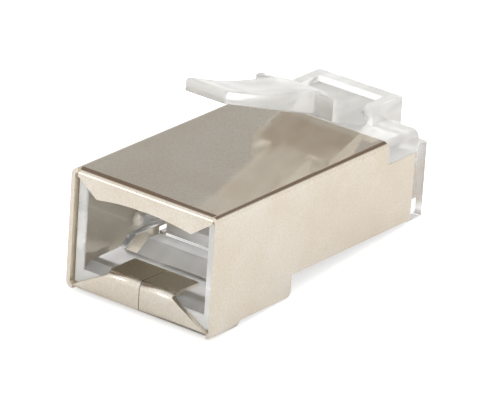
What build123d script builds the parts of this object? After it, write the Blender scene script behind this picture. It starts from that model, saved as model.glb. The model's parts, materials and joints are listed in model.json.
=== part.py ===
"""Shielded eight-way modular network plug, before it is crimped on a cable.

The nose points along +Y, the cable goes in from -Y, the latch is on top (+Z) and the contacts are underneath.
The origin is the middle of the plug's bounding box, seen from above, at the height of the shield's sole.
Lengths are in millimetres. The cable end is laid out from the plug's rear, and the front from its nose.
"""

import os
from math import atan2, cos, radians, sin, tan

from build123d import *

os.makedirs("parts", exist_ok=True)

# The whole plug
plug_length = 22.4
shell_width = 11.7
shell_height = 8.2

# The shield, folded from one sheet of nickel-plated brass
sheet = 0.3
bend_radius = 0.5
nose_reach = 1.8
latch_notch_length = 2.95
latch_notch_depth = 1.5
skirt_length = 2.7
skirt_step = 0.54
crimp_zone_end = 8.0
front_sill_height = 2.0
skirt_corner_radius = 0.24
crimp_corner_radius = 0.4
seam_gap = 0.05
top_flap_tip_width = 7.5
top_flap_corner_drop = 1.65
top_flap_middle_drop = 1.31
rear_sill_height = 2.14
rear_sill_top_width = 5.12
rear_shelf_length = 2.7

# The clear moulded housing inside the shield
housing_gap = 0.03
sole_height = 1.75
block_lip = 0.25
block_edge_radius = 0.5
nose_width = 11.2
nose_step = 1.2
nose_edge_radius = 0.3

# The chamber for the cable's jacket, with its stepped floor
chamber_side_wall = 0.72
chamber_edge_radius = 0.2
ceiling_thickness = 0.67
entry_floor = 1.1
entry_ramp_end = 1.1
rear_floor = 1.8
rear_floor_end = 3.9
front_floor = 2.55
front_floor_start = 4.9

# The lanes that lead the eight conductors over the blades
ways = 8
pitch = 1.02
lane_radius = 0.46
lane_middle = 5.4
lane_side_wall = 0.94
funnel_length = 3.6
nose_wall = 0.9

# The contact blades, before they are pressed into the conductors
blade_thickness = 0.35
blade_gap = 0.03
blade_setback = 1.0
blade_length = 3.15
blade_foot = 1.8
blade_shoulder = 3.9
blade_nose_radius = 0.55
blade_heel_radius = 0.25
tooth_count = 3
tooth_width = 0.62
tooth_height = 1.0
tooth_point_height = 0.45
mouth_width = 0.62
mouth_depth = 1.05
mouth_length = 5.2

# The strain relief bar, which is pressed up against the cable's jacket
window_side_ledge = 0.55
window_rear = 3.95
bar_side_gap = 0.7
bar_rear_gap = 0.15
bar_sole = 0.6
bar_rear_top = 1.75
bar_crest = 2.45
bar_ramp_length = 1.15
bar_hinge_wall = 0.7
bar_hinge_height = 1.1
bar_hinge_relief = 0.9
bar_knuckle_radius = 0.4
bar_swing_floor = 1.3
knuckle_gap = 0.03

# The latch's upstand on the nose, with the strap between its cheeks
upstand_width = 6.6
upstand_rise = 1.25
upstand_wall = 1.2
upstand_edge_radius = 0.3
cheek_width = 0.7
cheek_length = 3.25
latch_axis_setback = 3.8
latch_axis_rise = 0.48
strap_thickness = 0.7

# The latch lever, laid out from its hinge: how far behind it, and how high above the lever's middle line
lever_angle = 19.8
lever_width = 3.2
lever_reach = 14.1
tab_top = 0.53
tab_length = 4.3
tab_corner_radius = 0.3
scoop_half_length = 2.0
crest_rear = 4.3
crest_front = 2.6
crest_top = 1.27
crest_radius = 2.0
shoulder_width = 6.2
shoulder_rear = 4.2
shoulder_top = 1.05
shoulder_ridge = 3.6
shoulder_ridge_top = 1.18
shoulder_front = 1.84
ramp_foot = 0.5
moulded_edge_radius = 0.12

rear_y = -plug_length / 2
side_x = shell_width / 2
side_plate_length = plug_length - nose_reach
top_plate_length = side_plate_length - latch_notch_length
latch_notch_floor = shell_height - latch_notch_depth
inner_bend = bend_radius - sheet
flap_base_width = shell_width - 2 * bend_radius
core_half_width = side_x - sheet - housing_gap
core_rear = sheet + housing_gap
core_floor = sheet + housing_gap
core_roof = shell_height - sheet - housing_gap
nose_height = shell_height - nose_step
chamber_width = 2 * (core_half_width - chamber_side_wall)
chamber_end = crimp_zone_end
chamber_roof = core_roof - ceiling_thickness
window_width = chamber_width - 2 * window_side_ledge
lane_start = chamber_end + funnel_length
blade_front = plug_length - blade_setback
blade_rear = blade_front - blade_length
bar_hinge_from_rear = crimp_zone_end - bar_hinge_wall
latch_axis_from_rear = plug_length - latch_axis_setback
latch_axis_height = shell_height + latch_axis_rise
half_strap = strap_thickness / 2


def from_rear(distance):
    """Y of a point that lies this far ahead of the shield's rear edge."""
    return rear_y + distance


def side_points(*points):
    """Points of a side view, each given as distance from the rear and height."""
    return [(from_rear(distance), height) for distance, height in points]


# The view from behind has its X across the plug, its Y up and its normal towards the nose
rear_view = Plane(origin=(0, rear_y, 0), x_dir=(-1, 0, 0), z_dir=(0, 1, 0))
side_view = Plane.YZ

# Top flap: the top plate turned down over the housing's rear, with a hollow lower edge
flap_low = shell_height - top_flap_corner_drop
flap_middle = shell_height - top_flap_middle_drop
with BuildPart() as top_flap:
    with BuildSketch(side_view):
        with BuildLine():
            Line(*side_points((bend_radius, shell_height - sheet), (bend_radius, shell_height)))
            RadiusArc(
                *side_points((bend_radius, shell_height), (0, shell_height - bend_radius)), -bend_radius
            )
            Polyline(
                side_points(
                    (0, shell_height - bend_radius),
                    (0, flap_low),
                    (sheet, flap_low),
                    (sheet, shell_height - bend_radius),
                )
            )
            RadiusArc(
                *side_points((sheet, shell_height - bend_radius), (bend_radius, shell_height - sheet)),
                inner_bend,
            )
        make_face()
    extrude(amount=flap_base_width / 2, both=True)
    with BuildSketch(rear_view):
        with BuildLine():
            Polyline(
                (-top_flap_tip_width / 2, flap_low),
                (-flap_base_width / 2, shell_height - bend_radius),
                (-flap_base_width / 2, shell_height),
                (flap_base_width / 2, shell_height),
                (flap_base_width / 2, shell_height - bend_radius),
                (top_flap_tip_width / 2, flap_low),
            )
            ThreePointArc(
                (top_flap_tip_width / 2, flap_low), (0, flap_middle), (-top_flap_tip_width / 2, flap_low)
            )
        make_face()
    extrude(amount=bend_radius, mode=Mode.INTERSECT)

# Rear sill: the sole turned up behind the housing's floor and forward again over it
sill_turn = rear_sill_height - bend_radius
shelf_floor = rear_sill_height - sheet
with BuildPart() as rear_sill:
    with BuildSketch(side_view):
        with BuildLine():
            Line(*side_points((bend_radius, 0), (bend_radius, sheet)))
            RadiusArc(*side_points((bend_radius, sheet), (sheet, bend_radius)), inner_bend)
            Line(*side_points((sheet, bend_radius), (sheet, sill_turn)))
            RadiusArc(*side_points((sheet, sill_turn), (bend_radius, shelf_floor)), inner_bend)
            Polyline(
                side_points(
                    (bend_radius, shelf_floor),
                    (rear_shelf_length, shelf_floor),
                    (rear_shelf_length, rear_sill_height),
                    (bend_radius, rear_sill_height),
                )
            )
            RadiusArc(*side_points((bend_radius, rear_sill_height), (0, sill_turn)), -bend_radius)
            Line(*side_points((0, sill_turn), (0, bend_radius)))
            RadiusArc(*side_points((0, bend_radius), (bend_radius, 0)), -bend_radius)
        make_face()
    extrude(amount=flap_base_width / 2, both=True)
    with BuildSketch(rear_view):
        Polygon(
            (-flap_base_width / 2, 0),
            (flap_base_width / 2, 0),
            (flap_base_width / 2, sheet),
            (rear_sill_top_width / 2, shelf_floor),
            (rear_sill_top_width / 2, rear_sill_height),
            (-rear_sill_top_width / 2, rear_sill_height),
            (-rear_sill_top_width / 2, shelf_floor),
            (-flap_base_width / 2, sheet),
        )
    extrude(amount=rear_shelf_length, mode=Mode.INTERSECT)

# Shield: a sleeve cut to its side outline, with the two turned ends and the seam under it
with BuildPart() as shield:
    with BuildSketch(rear_view):
        with Locations((0, shell_height / 2)):
            RectangleRounded(shell_width, shell_height, bend_radius)
            RectangleRounded(
                shell_width - 2 * sheet, shell_height - 2 * sheet, inner_bend, mode=Mode.SUBTRACT
            )
    extrude(amount=side_plate_length)
    with BuildSketch(side_view):
        Polygon(
            side_points(
                (0, 0),
                (skirt_length, 0),
                (skirt_length, skirt_step),
                (crimp_zone_end, skirt_step),
                (crimp_zone_end, front_sill_height),
                (side_plate_length, front_sill_height),
                (side_plate_length, latch_notch_floor),
                (top_plate_length, latch_notch_floor),
                (top_plate_length, shell_height),
                (0, shell_height),
            )
        )
        skirt_line = from_rear(skirt_length)
        skirt_corners = vertices().filter_by_position(Axis.X, skirt_line - sheet, skirt_line + sheet)
        fillet(skirt_corners.sort_by(Axis.Y)[-1], skirt_corner_radius)
        crimp_line = from_rear(crimp_zone_end)
        crimp_corners = vertices().filter_by_position(Axis.X, crimp_line - sheet, crimp_line + sheet)
        fillet(crimp_corners.sort_by(Axis.Y)[0], crimp_corner_radius)
    extrude(amount=shell_width, both=True, mode=Mode.INTERSECT)
    with BuildSketch(rear_view):
        with Locations((0, shell_height / 2)):
            Rectangle(flap_base_width, shell_height)
    extrude(amount=bend_radius, mode=Mode.SUBTRACT)
    add(top_flap.part)
    add(rear_sill.part)
    with BuildSketch(rear_view):
        with Locations((0, rear_sill_height / 2)):
            Rectangle(seam_gap, 2 * rear_sill_height)
    extrude(amount=2 * rear_shelf_length, mode=Mode.SUBTRACT)

# Contact blade: a flat stamping with piercing teeth above and a rounded corner for the mating spring
tooth_spacing = (blade_length - tooth_width) / (tooth_count - 1)


def contact_place(number):
    """X of a contact's middle plane, with contact 1 on the +X side."""
    return ((ways + 1) / 2 - number) * pitch


def make_contact(number):
    """One blade, standing in its slot."""
    with BuildPart() as contact:
        with BuildSketch(side_view.offset(contact_place(number))):
            Polygon(
                side_points(
                    (blade_rear, blade_foot),
                    (blade_front, blade_foot),
                    (blade_front, blade_shoulder),
                    (blade_rear, blade_shoulder),
                )
            )
            foot_corners = vertices().group_by(Axis.Y)[0].sort_by(Axis.X)
            fillet(foot_corners[-1], blade_nose_radius)
            fillet(foot_corners[0], blade_heel_radius)
            with GridLocations(tooth_spacing, 1, tooth_count, 1) as teeth:
                tooth_places = teeth.local_locations
            blade_middle = from_rear((blade_rear + blade_front) / 2)
            with Locations((blade_middle, blade_shoulder)):
                with Locations(*tooth_places):
                    Polygon(
                        (-tooth_width / 2, 0),
                        (tooth_width / 2, 0),
                        (tooth_width / 2, tooth_height - tooth_point_height),
                        (0, tooth_height),
                        (-tooth_width / 2, tooth_height - tooth_point_height),
                    )
        extrude(amount=blade_thickness / 2, both=True)
    contact.part.label = f"contact_{number}"
    return contact.part


# Strain relief bar: a wedge across the crimp window, hinged at its front edge
bar_width = window_width - 2 * bar_side_gap
bar_rear = window_rear + bar_rear_gap
bar_crest_end = bar_hinge_from_rear - bar_hinge_relief
with BuildPart() as strain_relief_bar:
    with BuildSketch(side_view):
        Polygon(
            side_points(
                (bar_rear, bar_sole),
                (bar_hinge_from_rear, bar_hinge_height - bar_knuckle_radius),
                (bar_hinge_from_rear, bar_hinge_height + bar_knuckle_radius),
                (bar_crest_end, bar_crest),
                (bar_rear + bar_ramp_length, bar_crest),
                (bar_rear, bar_rear_top),
            )
        )
        with Locations(*side_points((bar_hinge_from_rear, bar_hinge_height))):
            Circle(bar_knuckle_radius)
    extrude(amount=bar_width / 2, both=True)

# Latch lever: a strap from the hinge, two shoulders that lock in the jack, and a long thumb tab
lever_view = Plane(
    origin=(0, from_rear(latch_axis_from_rear), latch_axis_height),
    x_dir=(0, -cos(radians(lever_angle)), sin(radians(lever_angle))),
    z_dir=(-1, 0, 0),
)
# The shoulders' rear faces and the tab's end stand square to the plug while the lever is at rest
rake = tan(radians(lever_angle))
ramp_slope = (crest_top - half_strap) / (crest_front - ramp_foot)
# The thumb's scoop is an arc tangent to the tab and to the slope that climbs to the crest
scoop_middle = lever_reach - tab_length
scoop_turn = atan2(crest_top - tab_top, scoop_middle - crest_rear)
scoop_radius = scoop_half_length / tan(scoop_turn / 2)
with BuildPart() as latch_lever:
    with BuildSketch(lever_view):
        Polygon(
            (0, -half_strap),
            (lever_reach - (tab_top + half_strap) * rake, -half_strap),
            (lever_reach, tab_top),
            (scoop_middle, tab_top),
            (crest_rear, crest_top),
            (crest_front, crest_top),
            (ramp_foot, half_strap),
            (0, half_strap),
        )
        fillet(vertices().sort_by(Axis.X)[-1], tab_corner_radius)
        fillet(vertices().group_by(Axis.Y)[-1], crest_radius)
        fillet(vertices().sort_by_distance((scoop_middle, tab_top))[0], scoop_radius)
    extrude(amount=lever_width / 2, both=True)
    tab_edges = edges().filter_by(GeomType.LINE).filter_by_position(
        Axis.Y, from_rear(0), from_rear(latch_axis_from_rear - crest_rear)
    )
    fillet(tab_edges.filter_by(Axis.X, reverse=True).filter_by(Axis.Z, reverse=True), moulded_edge_radius)
    with BuildSketch(lever_view):
        Polygon(
            (0, -half_strap),
            (shoulder_rear - (shoulder_top + half_strap) * rake, -half_strap),
            (shoulder_rear, shoulder_top),
            (shoulder_ridge, shoulder_ridge_top),
            (shoulder_front, half_strap + (shoulder_front - ramp_foot) * ramp_slope),
            (ramp_foot, half_strap),
            (0, half_strap),
        )
        Circle(half_strap)
    extrude(amount=shoulder_width / 2, both=True)

# Housing: a clear block that fills the shield's sleeve, with its nose and the latch's upstand in front
with BuildPart() as housing:
    with BuildSketch(side_view):
        Polygon(
            side_points(
                (core_rear, core_floor),
                (crimp_zone_end, core_floor),
                (crimp_zone_end, sole_height),
                (side_plate_length, sole_height),
                (side_plate_length, core_roof),
                (core_rear, core_roof),
            )
        )
        fillet(vertices().group_by(Axis.X)[0], inner_bend)
    extrude(amount=core_half_width, both=True)
    top_and_sole = edges().filter_by(Axis.Y).group_by(Axis.Z)
    fillet(top_and_sole[-1] + top_and_sole[0], inner_bend)
    nose_rear = side_plate_length + housing_gap
    with BuildSketch(rear_view.offset(nose_rear)):
        with Locations((0, (nose_height + sole_height) / 2)):
            Rectangle(nose_width, nose_height - sole_height)
    extrude(amount=plug_length - nose_rear)
    nose_front = faces().sort_by(Axis.Y)[-1]
    fillet(nose_front.edges(), nose_edge_radius)
    # The block ahead of the top plate fills the notch at the front of the shield
    block_rear = top_plate_length + housing_gap
    block_bottom = latch_notch_floor + housing_gap
    with BuildSketch(rear_view.offset(block_rear)):
        with Locations((0, (shell_height + block_bottom) / 2)):
            Rectangle(shell_width, shell_height - block_bottom)
        fillet(vertices().group_by(Axis.Y)[-1], block_edge_radius)
    extrude(amount=side_plate_length + block_lip - block_rear)
    # The upstand carries the latch between two cheeks, and its root strap reaches back to the hinge
    cheek_rear = plug_length - cheek_length
    upstand_top = shell_height + upstand_rise
    with BuildSketch(side_view):
        Polygon(
            side_points(
                (cheek_rear, nose_height - nose_edge_radius),
                (plug_length, nose_height - nose_edge_radius),
                (plug_length, upstand_top),
                (cheek_rear, upstand_top),
            )
        )
        fillet(vertices().group_by(Axis.Y)[-1], upstand_edge_radius)
    extrude(amount=upstand_width / 2, both=True)
    root_top = latch_axis_height + half_strap
    root_width = upstand_width - 2 * cheek_width
    with BuildSketch(side_view):
        Polygon(
            side_points(
                (0, root_top),
                (plug_length - upstand_wall, root_top),
                (plug_length - upstand_wall, 2 * upstand_top),
                (0, 2 * upstand_top),
            )
        )
    extrude(amount=root_width / 2, both=True, mode=Mode.SUBTRACT)
    with BuildSketch(side_view):
        with Locations(*side_points((latch_axis_from_rear, latch_axis_height))):
            Rectangle(
                plug_length - upstand_wall - latch_axis_from_rear,
                strap_thickness,
                align=(Align.MIN, Align.CENTER),
            )
    extrude(amount=root_width / 2, both=True)
    with BuildSketch(side_view):
        with Locations(*side_points((latch_axis_from_rear, latch_axis_height))):
            Circle(half_strap + knuckle_gap)
    extrude(amount=side_x, both=True, mode=Mode.SUBTRACT)
    # The cable's chamber, and the funnel that gathers the conductors
    with BuildSketch(side_view):
        Polygon(
            side_points(
                (0, entry_floor),
                (entry_ramp_end, rear_floor),
                (rear_floor_end, rear_floor),
                (front_floor_start, front_floor),
                (chamber_end, front_floor),
                (chamber_end, chamber_roof),
                (0, chamber_roof),
            )
        )
    extrude(amount=chamber_width / 2, both=True, mode=Mode.SUBTRACT)
    rear_rim = faces().sort_by(Axis.Y)[0]
    fillet(rear_rim.inner_wires()[0].edges(), chamber_edge_radius)
    lane_slot_width = 2 * (side_x - sheet - lane_side_wall)
    with BuildSketch(rear_view.offset(chamber_end)):
        with Locations((0, front_floor)):
            Rectangle(chamber_width, chamber_roof - front_floor, align=(Align.CENTER, Align.MIN))
    with BuildSketch(rear_view.offset(lane_start)):
        with Locations((0, lane_middle)):
            Rectangle(lane_slot_width, lane_radius, align=(Align.CENTER, Align.MIN))
    loft(mode=Mode.SUBTRACT)
    # The conductors lie side by side in half-round lanes
    with BuildSketch(rear_view.offset(lane_start)):
        with Locations((0, lane_middle)):
            Rectangle(lane_slot_width, lane_radius, align=(Align.CENTER, Align.MIN))
        with Locations((0, lane_middle)):
            with GridLocations(pitch, 1, ways, 1):
                Circle(lane_radius)
    extrude(amount=plug_length - nose_wall - lane_start, mode=Mode.SUBTRACT)
    # Each blade stands in a close slot, over a wider mouth for the jack's spring
    slot_rear = blade_rear - blade_gap
    slot_front = blade_front + blade_gap
    with BuildSketch(Plane.XY.offset(sole_height)):
        with Locations((0, from_rear((slot_rear + slot_front) / 2))):
            with GridLocations(pitch, 1, ways, 1):
                Rectangle(blade_thickness + 2 * blade_gap, slot_front - slot_rear)
    extrude(amount=lane_middle - sole_height, mode=Mode.SUBTRACT)
    with BuildSketch(Plane.XY.offset(sole_height)):
        with Locations((0, from_rear(plug_length))):
            with GridLocations(pitch, 1, ways, 1):
                Rectangle(mouth_width, mouth_length, align=(Align.CENTER, Align.MAX))
    extrude(amount=mouth_depth, mode=Mode.SUBTRACT)
    # The crimp window, with a round seat for the bar's hinge at its front edge and room above it to swing
    with BuildSketch(Plane.XY):
        with Locations((0, from_rear(window_rear))):
            Rectangle(window_width, bar_hinge_from_rear - window_rear, align=(Align.CENTER, Align.MIN))
    extrude(amount=front_floor, mode=Mode.SUBTRACT)
    with BuildSketch(side_view):
        with Locations(*side_points((bar_hinge_from_rear, bar_hinge_height))):
            Circle(bar_knuckle_radius + knuckle_gap)
        Polygon(
            side_points(
                (bar_hinge_from_rear, bar_swing_floor),
                (chamber_end, bar_swing_floor),
                (chamber_end, front_floor),
                (bar_hinge_from_rear, front_floor),
            )
        )
    extrude(amount=window_width / 2, both=True, mode=Mode.SUBTRACT)

shield.part.label = "shield"
housing.part.label = "housing"
latch_lever.part.label = "latch_lever"
strain_relief_bar.part.label = "strain_relief_bar"
pieces = [shield.part, housing.part, latch_lever.part, strain_relief_bar.part]
pieces += [make_contact(number) for number in range(1, ways + 1)]
for piece in pieces:
    export_step(piece, f"parts/{piece.label}.step")
    print(piece.label, piece.is_valid, len(piece.solids()), round(piece.volume, 3))
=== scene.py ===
# %% [markdown]
# A shielded network plug lies on a white table: a clear moulded body in a folded, nickel-plated
# shield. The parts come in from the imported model, already in place and in metres, and this file
# dresses them. What is new is measured from those parts, so little has to be fitted by eye.

# %% Load the plug
import json
import math

import bmesh
import bpy
from mathutils import Matrix, Vector


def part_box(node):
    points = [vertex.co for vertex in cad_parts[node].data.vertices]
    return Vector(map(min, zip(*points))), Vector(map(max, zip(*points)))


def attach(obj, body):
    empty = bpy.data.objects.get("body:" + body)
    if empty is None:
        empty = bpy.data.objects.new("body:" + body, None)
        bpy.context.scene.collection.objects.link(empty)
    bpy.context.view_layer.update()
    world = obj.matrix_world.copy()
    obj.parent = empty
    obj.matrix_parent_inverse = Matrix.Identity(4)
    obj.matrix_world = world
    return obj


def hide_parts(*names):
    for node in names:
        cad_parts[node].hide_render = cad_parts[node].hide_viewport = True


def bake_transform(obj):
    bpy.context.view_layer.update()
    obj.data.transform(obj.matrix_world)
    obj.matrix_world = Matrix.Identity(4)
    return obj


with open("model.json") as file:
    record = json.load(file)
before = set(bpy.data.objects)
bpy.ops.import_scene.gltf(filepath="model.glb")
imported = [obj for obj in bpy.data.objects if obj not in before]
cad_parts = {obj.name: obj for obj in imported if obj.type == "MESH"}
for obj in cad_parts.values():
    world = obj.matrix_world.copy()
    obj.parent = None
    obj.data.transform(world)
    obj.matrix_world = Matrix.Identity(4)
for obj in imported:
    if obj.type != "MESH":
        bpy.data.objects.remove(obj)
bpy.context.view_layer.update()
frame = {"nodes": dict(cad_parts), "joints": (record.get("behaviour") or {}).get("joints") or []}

MM = 0.001

# %% [markdown]
# Colours are easiest to read as the hex values that a picture editor shows, but shaders want
# linear light. One function turns the first into the second, so that no other line has to think
# about it.

# %% Colours
def linear(hex_colour):
    channels = [int(hex_colour[i : i + 2], 16) / 255 for i in (1, 3, 5)]
    light = [c / 12.92 if c <= 0.04045 else ((c + 0.055) / 1.055) ** 2.4 for c in channels]
    return (*light, 1.0)


print("a screen's middle grey is", round(linear("#808080")[0], 3), "of white light")

# %% [markdown]
# A material is a small network of nodes. The first helper adds one node, gives it its settings
# and input values, and returns it. An input goes by its name, with _ for a space, or by its number
# after a _ where it has no name of its own. Its value may be another node's output socket, and
# then the two are linked. Most patterns here are noise, which seldom leaves 0.3 to 0.7, so that
# range is what gets mapped to a roughness or a haze.

# %% Adding a node
def add(tree, kind, settings=None, **inputs):
    node = tree.nodes.new(kind)
    for name, value in (settings or {}).items():
        setattr(node, name, value)
    for name, value in inputs.items():
        key = int(name[1:]) if name.startswith("_") else name.replace("_", " ")
        socket = node.inputs[key]
        if isinstance(value, bpy.types.NodeSocket):
            tree.links.new(value, socket)
        else:
            socket.default_value = value
    return node


def new_material(name):
    material = bpy.data.materials.new(name)
    material.use_nodes = True
    material.node_tree.nodes.clear()
    print("material", name)
    return material, material.node_tree


noise_range = {"From_Min": 0.3, "From_Max": 0.7}
print("noise is mapped from", list(noise_range.values()))

# %% [markdown]
# The contact blades are stamped from a copper alloy and flashed with gold. The gold is far too
# thin to hide the stamped surface, so it is a bright yellow mirror with an uneven gloss. The real
# grain is too fine to show, and is drawn coarser, six grains to a millimetre. One noise that
# drives the roughness is enough for so small a piece, which makes this the simplest material.

# %% Gold flash
gold_grains_per_mm = 6
brightest_gold, dullest_gold = 0.16, 0.30


def gold_flash():
    material, tree = new_material("gold_flashed_copper_stamped")
    place = add(tree, "ShaderNodeTexCoord").outputs["Object"]
    grain = add(
        tree, "ShaderNodeTexNoise", Vector=place, Scale=gold_grains_per_mm / MM, Detail=2.0
    )
    gloss = add(
        tree,
        "ShaderNodeMapRange",
        Value=grain.outputs["Fac"],
        To_Min=brightest_gold,
        To_Max=dullest_gold,
        **noise_range,
    )
    shader = add(
        tree,
        "ShaderNodeBsdfPrincipled",
        Base_Color=linear("#E8B85A"),
        Metallic=1.0,
        Roughness=gloss.outputs["Result"],
    )
    add(tree, "ShaderNodeOutputMaterial", Surface=shader.outputs["BSDF"])
    return material


gold = gold_flash()

# %% [markdown]
# The shield is nickel-plated brass sheet. The sheet was rolled, so fine lines run along the plug,
# and bright plating copies them. Noise makes such lines when its scale along Y is a twenty-fifth
# of the scale across. As a bump map, only 0.01 mm deep, they blur the reflections a little more
# one way than the other. The real lines are several times finer, and nine to a millimetre are
# just coarse enough to show.

# %% Lines from the rolls
rolled_lines_per_mm = 9
scale_along = 0.04


def rolled_lines(tree, place):
    along = add(tree, "ShaderNodeMapping", Vector=place, Scale=(1.0, scale_along, 1.0))
    lines = add(
        tree,
        "ShaderNodeTexNoise",
        Vector=along.outputs["Vector"],
        Scale=rolled_lines_per_mm / MM,
        Detail=2.0,
        Roughness=0.6,
    )
    height = lines.outputs["Fac"]
    bump = add(tree, "ShaderNodeBump", Height=height, Strength=0.12, Distance=0.01 * MM)
    return bump.outputs["Normal"]


print("a rolled line is", round(1 / rolled_lines_per_mm / scale_along, 1), "mm long")

# %% [markdown]
# Bright nickel is a slightly yellow mirror. A plating bath is never quite even, so the tint and
# the gloss drift over about 4 mm, and a grain mottles the tint. The real grain is finer than an
# eighth of a millimetre, and is drawn that coarse so that it shows. The average of the two noises
# picks a tint between a dark and a pale one. Without these patterns the sheet would look like
# plated glass.

# %% Nickel plate
drift_size = 4.0 * MM
grain_size = 0.125 * MM
dark_up_to, pale_from = 0.35, 0.65
nickel_gloss_drift = 0.2


def nickel_plate(name, pale, dark, roughness):
    material, tree = new_material(name)
    place = add(tree, "ShaderNodeTexCoord").outputs["Object"]
    noise = "ShaderNodeTexNoise"
    drift = add(tree, noise, Vector=place, Scale=1 / drift_size, Detail=2.0, Roughness=0.5)
    grain = add(tree, noise, Vector=place, Scale=1 / grain_size, Detail=1.0, Roughness=0.5)
    both = {"operation": "ADD"}
    mottle = add(tree, "ShaderNodeMath", both, _0=drift.outputs["Fac"], _1=grain.outputs["Fac"])
    mottle = add(tree, "ShaderNodeMath", {"operation": "MULTIPLY"}, _0=mottle.outputs[0], _1=0.5)
    tint = add(tree, "ShaderNodeValToRGB", Fac=mottle.outputs[0])
    tints = {dark_up_to: dark, pale_from: pale}
    for stop, (where, colour) in zip(tint.color_ramp.elements, tints.items()):
        stop.position = where
        stop.color = linear(colour)
    gloss = add(
        tree,
        "ShaderNodeMapRange",
        Value=drift.outputs["Fac"],
        To_Min=roughness * (1 - nickel_gloss_drift),
        To_Max=roughness * (1 + nickel_gloss_drift),
        **noise_range,
    )
    shader = add(
        tree,
        "ShaderNodeBsdfPrincipled",
        Base_Color=tint.outputs["Color"],
        Metallic=1.0,
        Roughness=gloss.outputs["Result"],
        Normal=rolled_lines(tree, place),
    )
    add(tree, "ShaderNodeOutputMaterial", Surface=shader.outputs["BSDF"])
    return material


outer_name = "nickel_plated_brass_sheet_rolled"
nickel = nickel_plate(outer_name, pale="#F2EBDF", dark="#E6D9C6", roughness=0.12)

# %% [markdown]
# The plating current reaches the inside of a folded shield less well, so the nickel there is
# thinner and duller. It is the same material with a higher roughness.

# %% Nickel plate inside the shield
inner_name = "nickel_plated_brass_sheet_inner_face"
inner_nickel = nickel_plate(inner_name, pale="#F2EADA", dark="#E6DAC5", roughness=0.34)

# %% [markdown]
# Where the press sheared the sheet, the edge is torn as well as cut, with tears about a quarter of
# a millimetre apart. Their tiny facets face every way, so some of them always catch the light and
# the edge glints along its length. Its tints are also paler than the plate's, nearly white, which
# is a painted glint; the tears only vary it at random. The tears are drawn deep, 0.05 mm, because
# on so narrow a strip a shallow bump wouldn't show.

# %% Sheared edge
tear_size = 0.25 * MM
tear_depth = 0.05 * MM
# paler than the plate, nearly white: a painted glint on every sheared edge and shield strip
tear_tints_painted_glint = {0.35: "#F2EADC", 0.60: "#FFFEFA"}


def sheared_brass_edge_painted_glint():
    material, tree = new_material("nickel_plated_brass_edge_sheared_painted_glint")
    place = add(tree, "ShaderNodeTexCoord").outputs["Object"]
    noise = "ShaderNodeTexNoise"
    tears = add(tree, noise, Vector=place, Scale=1 / tear_size, Detail=2.0, Roughness=0.6)
    tint = add(tree, "ShaderNodeValToRGB", Fac=tears.outputs["Fac"])
    for stop, (where, colour) in zip(tint.color_ramp.elements, tear_tints_painted_glint.items()):
        stop.position = where
        stop.color = linear(colour)
    height = tears.outputs["Fac"]
    bump = add(tree, "ShaderNodeBump", Height=height, Strength=0.6, Distance=tear_depth)
    shader = add(
        tree,
        "ShaderNodeBsdfPrincipled",
        Base_Color=tint.outputs["Color"],
        Metallic=1.0,
        Roughness=0.35,
        Normal=bump.outputs["Normal"],
    )
    add(tree, "ShaderNodeOutputMaterial", Surface=shader.outputs["BSDF"])
    return material


sheared_edge_painted_glint = sheared_brass_edge_painted_glint()

# %% [markdown]
# The body is clear polycarbonate, injection moulded. It bends light strongly (its IOR is 1.585),
# so edges look grey and corners sparkle. It shrinks unevenly as it sets, so a moulded face waves
# over about 1.7 mm, and that makes what is seen through it wobble. Its gloss follows the wave.

# %% Clear plastic: the clear part
polycarbonate_ior = 1.585
waves_per_mm = 0.6
plastic_gloss_drift = 0.3


def clear_part(tree, place, roughness):
    noise = "ShaderNodeTexNoise"
    waves = add(tree, noise, Vector=place, Scale=waves_per_mm / MM, Detail=1.0, Roughness=0.5)
    height = waves.outputs["Fac"]
    bump = add(tree, "ShaderNodeBump", Height=height, Strength=0.1, Distance=0.03 * MM)
    gloss = add(
        tree,
        "ShaderNodeMapRange",
        Value=waves.outputs["Fac"],
        To_Min=roughness * (1 - plastic_gloss_drift),
        To_Max=roughness * (1 + plastic_gloss_drift),
        **noise_range,
    )
    glass = add(
        tree,
        "ShaderNodeBsdfPrincipled",
        Base_Color=linear("#FEFEFE"),
        Transmission_Weight=1.0,
        IOR=polycarbonate_ior,
        Roughness=gloss.outputs["Result"],
        Normal=bump.outputs["Normal"],
    )
    return glass.outputs["BSDF"], bump.outputs["Normal"]


print("a moulded face waves over", round(1 / waves_per_mm, 1), "mm")

# %% [markdown]
# What isn't polished scatters light as a thin white cloud would, so a cloud is mixed with the
# clear plastic, and the haze is its share. Part of the cloud's light comes back from the lit side,
# which is a diffuse shader's work, and part comes through from behind, which is a translucent
# one's. The plastic set while it flowed along the mould, so the haze drifts in long streaks.

# %% Clear plastic: the haze in it
streaks_per_mm = (0.6, 0.12, 1.0)  # across, along and up
haze_drift = 0.15


def clear_polycarbonate(name, roughness, haze, through):
    material, tree = new_material(name)
    place = add(tree, "ShaderNodeTexCoord").outputs["Object"]
    glass, normal = clear_part(tree, place, roughness)
    along = add(tree, "ShaderNodeMapping", Vector=place, Scale=streaks_per_mm).outputs["Vector"]
    streaks = add(tree, "ShaderNodeTexNoise", Vector=along, Scale=1 / MM, Detail=1.0)
    veil = add(
        tree,
        "ShaderNodeMapRange",
        Value=streaks.outputs["Fac"],
        To_Min=haze * (1 - haze_drift),
        To_Max=haze * (1 + haze_drift),
        **noise_range,
    ).outputs["Result"]
    milk = linear("#FCFBF8")
    lit = add(tree, "ShaderNodeBsdfDiffuse", Color=milk, Normal=normal).outputs["BSDF"]
    shone = add(tree, "ShaderNodeBsdfTranslucent", Color=milk, Normal=normal).outputs["BSDF"]
    cloud = add(tree, "ShaderNodeMixShader", Fac=through, _1=lit, _2=shone).outputs["Shader"]
    body = add(tree, "ShaderNodeMixShader", Fac=veil, _1=glass, _2=cloud)
    add(tree, "ShaderNodeOutputMaterial", Surface=body.outputs["Shader"])
    return material


print("the haze drifts in streaks of", round(1 / streaks_per_mm[1], 1), "mm")

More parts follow.
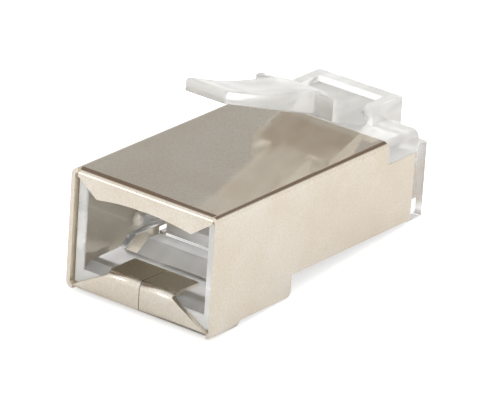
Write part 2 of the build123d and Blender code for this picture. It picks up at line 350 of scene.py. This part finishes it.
# %% [markdown]
# A mould is polished only where it has to be, so one plastic has several finishes. The chamber's
# walls are polished, to show the wires. The front is nearly clear, to show the contacts. The
# floors are frosted. The latch has a satin face, the top of the nose a milkier one, and the rim
# and the worn edges are matt. Satin, milky and matt faces are lit mostly from their own side, so
# their clouds let little light through.

# %% Finishes of the clear plastic
def moulded(finish, roughness, haze, through=0.5):
    return clear_polycarbonate(f"polycarbonate_clear_moulded_{finish}", roughness, haze, through)


polished_plastic = moulded("polished", roughness=0.06, haze=0.04)
front_plastic = moulded("front", roughness=0.10, haze=0.22)
frosted_plastic = moulded("frosted", roughness=0.18, haze=0.42)
satin_plastic = moulded("satin", roughness=0.08, haze=0.40, through=0.28)
nose_plastic = moulded("nose", roughness=0.10, haze=0.56, through=0.15)
matt_plastic = moulded("matt", roughness=0.35, haze=0.78, through=0.15)

# %% [markdown]
# The shield comes first, because everything else sits in it. A part of the model is a heap of
# loose triangles. They face the right way, but an edge can be rounded only where two faces share
# it, and a face's width can be measured only once it is whole. So a copy is merged, and the edges
# that lie inside its flat faces are dissolved.

# %% Shield: a merged copy
merge_distance = 0.001 * MM
flat_angle = math.radians(1)


def merged_copy(node):
    mesh = bmesh.new()
    mesh.from_mesh(frame["nodes"][node].data)
    triangles = len(mesh.faces)
    bmesh.ops.remove_doubles(mesh, verts=mesh.verts, dist=merge_distance)
    bmesh.ops.dissolve_limit(mesh, angle_limit=flat_angle, verts=mesh.verts, edges=mesh.edges)
    print(node, "merges", triangles, "triangles into", len(mesh.faces), "faces")
    return mesh


shell_mesh = merged_copy("shield")
shield_low, shield_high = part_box("shield")

# %% [markdown]
# The folded sheet shows three kinds of face, and each can be told by its shape. A sheared edge is
# a strip about as wide as the sheet is thick, 0.3 mm. An inner face looks towards the line through
# the middle of the plug, and lies clear of it. The small faces that look along the plug are left
# out of that, because the front of a folded tab also leans a little towards the middle. All the
# rest is the bright outer side. A helper asks such a rule about each face and sets its finish.

# %% Shield: the finish of each face
narrowest_strip, widest_strip = 0.15 * MM, 0.31 * MM
clear_of_middle = 0.5 * MM
most_along_plug = 0.2
middle_height = (shield_low.z + shield_high.z) / 2


def shield_finish(face):
    middle = face.calc_center_median()
    from_axis = Vector((middle.x, 0, middle.z - middle_height))
    strip_width = face.calc_area() / max(edge.calc_length() for edge in face.edges)
    if narrowest_strip < strip_width < widest_strip:
        return sheared_edge_painted_glint
    looks_inwards = face.normal.dot(from_axis) < -clear_of_middle
    return inner_nickel if looks_inwards and abs(face.normal.y) < most_along_plug else nickel


def set_finishes(mesh, finishes, finish_of):
    for face in mesh.faces:
        face.material_index = finishes.index(finish_of(face))
    for number, finish in enumerate(finishes):
        count = sum(face.material_index == number for face in mesh.faces)
        print(finish.name, "is on", count, "faces")


shield_finishes = [nickel, sheared_edge_painted_glint, inner_nickel]
set_finishes(shell_mesh, shield_finishes, shield_finish)

# %% [markdown]
# A drawing's edges have no width, and nothing real is like that: sheared sheet has a burr rolled
# over by the press, and a mould's corners are worn round by the cutter that made them. That thin
# round strip is what catches the light. Only the edges that stand proud are bevelled, which keeps
# the copy inside the part that it stands for. The bevel is asked for with all of its settings,
# because its defaults in code aren't the editor's, and the strip can get a finish of its own
# afterwards.

# %% Shield: round the edges
proud_angle = math.radians(30)


def bevel_proud_edges(mesh, width, strip_finish=None):
    proud = [e for e in mesh.edges if e.is_convex and e.calc_face_angle() > proud_angle]
    bevelled = bmesh.ops.bevel(
        mesh,
        geom=proud,
        offset=width,
        offset_type="OFFSET",
        segments=2,
        profile=0.5,
        affect="EDGES",
        material=-1,
        clamp_overlap=True,
    )
    if strip_finish is not None:
        for strip in bevelled["faces"]:
            strip.material_index = strip_finish
    print("rounded", len(proud), "edges by", round(width / MM, 2), "mm")


# the shield's rounded strips take the sheared finish, so its painted glint outlines every proud
# edge
sheet_edge = 0.09 * MM
bevel_proud_edges(shell_mesh, sheet_edge, shield_finishes.index(sheared_edge_painted_glint))

# %% [markdown]
# A mesh becomes a visible piece here. Shading is smooth over the rounded strips and breaks at
# real corners. The weighted normals then keep the large faces flat, so that the mirror on them
# doesn't bend. The piece is then hung from the body that carries it, and the model's own part is
# hidden.

# %% Shield: the piece
corner_angle = math.radians(50)


def finish_piece(mesh, name, materials):
    data = bpy.data.meshes.new(name)
    mesh.to_mesh(data)
    mesh.free()
    data.shade_smooth()
    data.set_sharp_from_angle(angle=corner_angle)
    piece = bpy.data.objects.new(name, data)
    bpy.context.scene.collection.objects.link(piece)
    for material in materials:
        data.materials.append(material)
    normals = piece.modifiers.new("flat_faces_stay_flat", "WEIGHTED_NORMAL")
    normals.keep_sharp = True
    print("piece", name, "has", len(data.polygons), "faces")
    return piece


shell = finish_piece(shell_mesh, "shield_folded", shield_finishes)
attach(shell, "plug_body")
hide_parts("shield")

# %% [markdown]
# The latch is moulded in one with the nose. A thin strap leaves the wall at the front of the
# upstand, lies between its two cheeks, and turns up into the lever: it has no pin, and bends
# where it is free. The model splits it at the line that it bends about. Here the strap is cut out
# of the housing's copy and later goes to the lever, so that no joint shows when the latch is
# pressed. A brick, placed from the hinge and the wall, takes up the strap's room.

# %% Housing: room for the strap
def brick(low, high):
    mesh = bmesh.new()
    bmesh.ops.create_cube(mesh, size=1.0)
    bmesh.ops.scale(mesh, vec=high - low, verts=mesh.verts)
    bmesh.ops.translate(mesh, vec=(low + high) / 2, verts=mesh.verts)
    print("a brick of", [round(side / MM, 2) for side in high - low], "mm")
    return mesh


housing_low, housing_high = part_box("housing")
latch_joint = next(joint for joint in frame["joints"] if joint["name"] == "latch_press")
hinge = Vector(latch_joint["pos_m"])
strap_half = 0.35 * MM
strap_wall = housing_high.y - 1.2 * MM
cheek_inside = 2.6 * MM
hair = 0.02 * MM
strap_room = brick(
    Vector((-cheek_inside, hinge.y - 2 * strap_half, hinge.z - strap_half - hair)),
    Vector((cheek_inside, strap_wall, hinge.z + 3 * strap_half)),
)

# %% [markdown]
# A boolean cuts one solid with another. The exact solver is slower than the fast one, and safe
# where faces nearly touch. It needs objects, so two are made to hold the meshes for a moment.

# %% Housing: cut out the strap
def combined(first, second, operation):
    holders = []
    for mesh in (first, second):
        data = bpy.data.meshes.new("holder")
        mesh.to_mesh(data)
        mesh.free()
        holder = bpy.data.objects.new("holder", data)
        bpy.context.scene.collection.objects.link(holder)
        holders.append(holder)
    cut = holders[0].modifiers.new("cut", "BOOLEAN")
    cut.operation = operation
    cut.object = holders[1]
    cut.solver = "EXACT"
    result = bmesh.new()
    result.from_object(holders[0], bpy.context.evaluated_depsgraph_get())
    for holder in holders:
        bpy.data.objects.remove(holder)
    print(operation.lower(), "leaves", len(result.faces), "faces")
    return result


block_mesh = combined(merged_copy("housing"), strap_room, "DIFFERENCE")

# %% [markdown]
# The housing's finishes follow its shape. In front of the shield's top plate is the nose, milky
# in its upper part and clear below, where the contacts are. The last quarter of a millimetre at
# the cable end is the matt rim. Inside the shield, the faces that look up or back are the
# frosted floors and ramps. The rest is polished wall.

# %% Housing: the finish of each face
front_of_plate = 6.2 * MM
above_contacts = shield_high.z - 2.0 * MM
rim_depth = 0.25 * MM
sleeve_half = shield_high.x - 0.4 * MM
least_slope = 0.2


def housing_finish(face):
    middle = face.calc_center_median()
    if middle.y > front_of_plate:
        return nose_plastic if middle.z > above_contacts else front_plastic
    if middle.y < housing_low.y + rim_depth:
        return matt_plastic
    is_floor = face.normal.z > least_slope or face.normal.y < -least_slope
    return frosted_plastic if is_floor and abs(middle.x) < sleeve_half else polished_plastic


housing_finishes = [
    polished_plastic,
    nose_plastic,
    matt_plastic,
    frosted_plastic,
    front_plastic,
]
set_finishes(block_mesh, housing_finishes, housing_finish)

# %% [markdown]
# A mould wears at its sharp edges, and the plastic copies that too, so each rounded strip is as
# matt as the rim. Those strips are the pale outlines that make a clear moulding readable.

# %% Housing: the piece
moulded_edge = 0.10 * MM
bevel_proud_edges(block_mesh, moulded_edge, housing_finishes.index(matt_plastic))
block = finish_piece(block_mesh, "housing_moulded", housing_finishes)
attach(block, "plug_body")
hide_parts("housing")

# %% [markdown]
# The lever and the strap become one moulding. The brick for the strap is a hair smaller than the
# room it left, so that no two faces lie in one plane. The bend needs rows of corners to follow,
# and the strap's long faces have none, so planes are cut across it where it bends. A plane that
# passes close to a corner leaves a sliver, and those are dissolved.

# %% Latch: lever and strap in one
strap = brick(
    Vector((hair - cheek_inside, hinge.y, hinge.z - strap_half)),
    Vector((cheek_inside - hair, strap_wall - hair, hinge.z + strap_half)),
)
lever_mesh = combined(merged_copy("latch_lever"), strap, "UNION")
lever_finishes = [satin_plastic, matt_plastic]
bevel_proud_edges(lever_mesh, moulded_edge, lever_finishes.index(matt_plastic))
bend_reach = 0.8 * MM
bend_steps = 8
for step in range(bend_steps + 1):
    row = Vector((0, hinge.y + bend_reach * (1 - 2 * step / bend_steps), 0))
    everything = lever_mesh.verts[:] + lever_mesh.edges[:] + lever_mesh.faces[:]
    bmesh.ops.bisect_plane(lever_mesh, geom=everything, plane_co=row, plane_no=(0, 1, 0))
bmesh.ops.dissolve_degenerate(lever_mesh, dist=merge_distance, edges=lever_mesh.edges)
print("the bend has", bend_steps, "steps of", round(2 * bend_reach / bend_steps / MM, 2), "mm")

# %% [markdown]
# On the real plug, the moulding stays with the plug in front of the bend and goes down with the
# latch behind it. Here it is one piece, with its place baked into its corners.

# %% Latch: the piece
lever = finish_piece(lever_mesh, "latch_moulded", lever_finishes)
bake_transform(lever)
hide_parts("latch_lever")

# %% [markdown]
# The strain relief bar lies in a window in the chamber's floor, and is moulded with it in the
# same frosted finish. A crimping tool later presses it up on the cable's jacket.

# %% Strain relief bar
bar_edge = 0.08 * MM
bar_mesh = merged_copy("strain_relief_bar")
bevel_proud_edges(bar_mesh, bar_edge)
bar = finish_piece(bar_mesh, "strain_relief_bar_moulded", [frosted_plastic])
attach(bar, "strain_relief")
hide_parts("strain_relief_bar")

# %% [markdown]
# The eight blades are stamped, and the press leaves their edges only slightly round. They stand
# 1.02 mm apart, and one loop dresses them all.

# %% Contact blades
stamped_edge = 0.02 * MM
blades = sorted(name for name in frame["nodes"] if name.startswith("contact_"))
for name in blades:
    blade_mesh = merged_copy(name)
    bevel_proud_edges(blade_mesh, stamped_edge)
    blade = finish_piece(blade_mesh, f"{name}_stamped", [gold])
    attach(blade, "contacts")
    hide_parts(name)
print("dressed", len(frame["nodes"]), "parts, of which", len(blades), "are blades")

# %% [markdown]
# The plug rests nose-down: it touches the table with the front edge of the shield's skirt and
# with the underside of its nose. The model's own axes stay square to the plug, so here the table
# is tilted instead. The line between the two places that touch gives the tilt. Three sizes of the
# model say where they are.

# %% How the plug lies
skirt_length = 2.7 * MM
nose_rounding = 0.3 * MM
nose_foot_height = 1.75 * MM
skirt_front = Vector((0, shield_low.y + skirt_length, shield_low.z))
nose_foot = Vector((0, housing_high.y - nose_rounding, nose_foot_height))
table_x = Vector((1, 0, 0))
table_y = (nose_foot - skirt_front).normalized()
table_up = table_x.cross(table_y)
print("the table tilts", round(math.degrees(math.asin(table_y.z)), 2), "degrees")

# %% [markdown]
# The table is matt white card. In a studio it is lit until it shows as pure white, and that light
# would also wash out the plug. So the card glows a little instead, only where the camera looks at
# it or sees it through the plastic. Lamps and mirrors meet plain card, and the plug's shadow stays.

# %% White card
glow_through_plastic = 0.9
glow_for_camera = 0.5


def white_card():
    material, tree = new_material("white_card_table")
    path = add(tree, "ShaderNodeLightPath").outputs
    through = path["Is Transmission Ray"]
    product = {"operation": "MULTIPLY"}
    glow = add(tree, "ShaderNodeMath", product, _0=through, _1=glow_through_plastic)
    glow = add(
        tree,
        "ShaderNodeMath",
        {"operation": "MULTIPLY_ADD"},
        _0=path["Is Camera Ray"],
        _1=glow_for_camera,
        _2=glow.outputs[0],
    )
    shader = add(
        tree,
        "ShaderNodeBsdfPrincipled",
        Base_Color=linear("#E6E6E6"),
        Roughness=0.9,
        Emission_Color=(1, 1, 1, 1),
        Emission_Strength=glow.outputs[0],
    )
    add(tree, "ShaderNodeOutputMaterial", Surface=shader.outputs["BSDF"])
    return material


card = white_card()

# %% [markdown]
# The table itself is one large face under the plug, turned to the tilt. It isn't part of the
# object.

# %% Table
table_half = 1.2
card_face = bmesh.new()
bmesh.ops.create_grid(card_face, x_segments=1, y_segments=1, size=table_half)
turn = Matrix((table_x, table_y, table_up)).transposed().to_4x4()
lay = Matrix.Translation(skirt_front) @ turn
bmesh.ops.transform(card_face, matrix=lay, verts=card_face.verts)
data = bpy.data.meshes.new("table")
card_face.to_mesh(data)
card_face.free()
data.materials.append(card)
table = bpy.data.objects.new("table", data)
bpy.context.scene.collection.objects.link(table)
print("the table is", 2 * table_half, "m wide")

# %% [markdown]
# A long lens looks down on the cable end from the right. The numbers are what the photograph's
# own edges gave when a camera was solved for them: where it stands, how it is turned, and how
# long its lens is. The lens is given in pixels and turned into millimetres on the sensor.

# %% Camera
view_azimuth, view_elevation, view_roll = (math.radians(v) for v in (36.27, 22.90, 3.83))
target = Vector((0, -1.2, 4.0)) * MM
target_distance = 326.4 * MM
shift_right = 0.481 * MM
shift_up = 0.357 * MM
photo_width = 495
focal_pixels = 5140

level = Vector((math.cos(view_azimuth), math.sin(view_azimuth), 0))
towards = Vector((math.sin(view_azimuth), -math.cos(view_azimuth), 0))
back = towards * math.cos(view_elevation) + Vector((0, 0, math.sin(view_elevation)))
upright = back.cross(level)
right = math.cos(view_roll) * level + math.sin(view_roll) * upright
up = -math.sin(view_roll) * level + math.cos(view_roll) * upright

lens = bpy.data.cameras.new("camera")
lens.sensor_width = 36.0
lens.lens = focal_pixels / photo_width * lens.sensor_width
lens.clip_start = 0.01
camera = bpy.data.objects.new("camera", lens)
bpy.context.scene.collection.objects.link(camera)
stand = target + back * target_distance + right * shift_right + up * shift_up
turn = Matrix((right, up, back)).transposed().to_4x4()
camera.matrix_world = Matrix.Translation(stand) @ turn
bpy.context.scene.camera = camera
print("the lens is", round(lens.lens, 1), "mm long")

# %% [markdown]
# Two soft panels, one overhead and one on the camera's right, shape the plug with light. Mirrors
# don't show them, because polished metal would turn them into hard white patches. A small softbox
# low on the camera's left does show: it draws the pale line along the fold above the mouth. All
# three point at the plug, and are dim enough that its pale faces don't clip to white.

# %% Lamps
def hang_lamp(name, place, width, watts, shows_in_mirrors):
    data = bpy.data.lights.new(name, "AREA")
    data.shape = "SQUARE"
    data.size = width
    data.energy = watts
    lamp = bpy.data.objects.new(name, data)
    bpy.context.scene.collection.objects.link(lamp)
    lamp.location = place
    lamp.rotation_mode = "QUATERNION"
    lamp.rotation_quaternion = (-Vector(place)).to_track_quat("-Z", "Y")
    lamp.visible_glossy = shows_in_mirrors
    print(name, "is", width, "m wide and has", watts, "W")


hang_lamp(
    "panel_overhead", place=(0.12, 0.2, 0.55), width=0.5, watts=0.9, shows_in_mirrors=False
)
hang_lamp("panel_right", place=(0.5, -0.1, 0.3), width=0.3, watts=0.3, shows_in_mirrors=False)
hang_lamp(
    "softbox_rear_left", place=(-0.33, -0.47, 0.19), width=0.09, watts=0.06, shows_in_mirrors=True
)

# %% [markdown]
# Polished metal shows the room, so it looks only as good as the room does. This one is painted on
# the world, by the direction that is looked in. Most of it is nearly white. Across the table from
# the camera is a dim corner, which begins softly on both sides. The cosine of the angle between
# a direction and the corner's middle says how dim it is there.

# %% Room: the dim corner
dim_corner = Vector((-0.8, 0.6, 0.0))
corner_begins, corner_is_full = 0.20, 0.40

world = bpy.data.worlds.new("studio")
world.use_nodes = True
sky = world.node_tree
sky.nodes.clear()
direction = add(sky, "ShaderNodeTexCoord").outputs["Generated"]
part_of_both = {"operation": "DOT_PRODUCT"}
facing = add(sky, "ShaderNodeVectorMath", part_of_both, _0=direction, _1=dim_corner)
dimness = add(
    sky,
    "ShaderNodeMapRange",
    {"interpolation_type": "SMOOTHSTEP"},
    Value=facing.outputs["Value"],
    From_Min=corner_begins,
    From_Max=corner_is_full,
).outputs["Result"]
half_width = math.degrees(math.acos(corner_begins))
print("the dim corner begins", round(half_width), "degrees from its middle")

# %% [markdown]
# Each wall is a ramp over the sine of the angle above the horizon. The plug's top plate mirrors
# the dim wall at 0.39, which makes it greyer than the side, because the side mirrors the table.
# Above that the wall turns dark and brown, and the rounded folds show it as thin brown lines.

# %% Room: the walls
bright_wall = {0.0: "#F9F9F9", 0.75: "#F4F4F4", 0.9: "#C5C5C5", 1.0: "#959595"}
dim_wall = {
    0.0: "#E7E7E7",
    0.2: "#C6C5C4",
    0.39: "#B7B7B6",
    0.5: "#83766D",
    0.85: "#7E7169",
    1.0: "#959595",
}

height = add(sky, "ShaderNodeSeparateXYZ", Vector=direction).outputs["Z"]
walls = []
for wall in (bright_wall, dim_wall):
    ramp = add(sky, "ShaderNodeValToRGB", Fac=height)
    stops = ramp.color_ramp.elements
    stops.remove(stops[1])
    for place, colour in wall.items():
        stop = stops.new(place) if place > 0 else stops[0]
        stop.color = linear(colour)
    walls.append(ramp.outputs["Color"])
mix_colours = {"data_type": "RGBA"}
room = add(sky, "ShaderNodeMix", mix_colours, _0=dimness, _6=walls[0], _7=walls[1]).outputs[2]
print("the room's walls have", len(bright_wall), "and", len(dim_wall), "stops")

# %% [markdown]
# Only mirrors see that room. The camera, matt surfaces and whatever looks straight through the
# plastic see plain white, at a strength of 1. Light that has been inside the plastic and was
# mirrored there sees white too, unless it leaves towards the dim corner: that is what keeps the
# chamber's walls a warm grey.

# %% Who sees the room
path = add(sky, "ShaderNodeLightPath").outputs
below = {"operation": "LESS_THAN"}
above = {"operation": "GREATER_THAN"}
product = {"operation": "MULTIPLY"}
half = 0.5  # the path counts whole turns, so this parts none from one
unmirrored = add(sky, "ShaderNodeMath", below, _0=path["Glossy Depth"], _1=half).outputs[0]
been_inside = add(sky, "ShaderNodeMath", above, _0=path["Transmission Depth"], _1=half).outputs[0]
bright = add(sky, "ShaderNodeMath", {"operation": "SUBTRACT"}, _0=1.0, _1=dimness).outputs[0]
through = path["Is Transmission Ray"]
straight = add(sky, "ShaderNodeMath", product, _0=through, _1=unmirrored).outputs[0]
from_inside = add(sky, "ShaderNodeMath", product, _0=been_inside, _1=bright).outputs[0]
sees_white = path["Is Camera Ray"]
for share in (path["Is Diffuse Ray"], straight, from_inside):
    most = {"operation": "MAXIMUM"}
    sees_white = add(sky, "ShaderNodeMath", most, _0=sees_white, _1=share).outputs[0]
white = (1, 1, 1, 1)
seen = add(sky, "ShaderNodeMix", mix_colours, _0=sees_white, _6=room, _7=white).outputs[2]
background = add(sky, "ShaderNodeBackground", Color=seen, Strength=1.0)
add(sky, "ShaderNodeOutputWorld", Surface=background.outputs["Background"])
bpy.context.scene.world = world
print("the world has", len(sky.nodes), "nodes")

# %% [markdown]
# Light that enters the chamber goes back and forth between the clear walls and the bright sheet
# around them before it comes out again, so it is followed for more turns than Blender's usual
# four. The plain view transform shows each colour as it is written.

# %% How light is followed and shown
light_paths = bpy.context.scene.cycles
light_paths.max_bounces = 24
light_paths.glossy_bounces = 14
light_paths.transmission_bounces = 20
bpy.context.scene.view_settings.view_transform = "Standard"
print("light is followed for", light_paths.max_bounces, "turns")
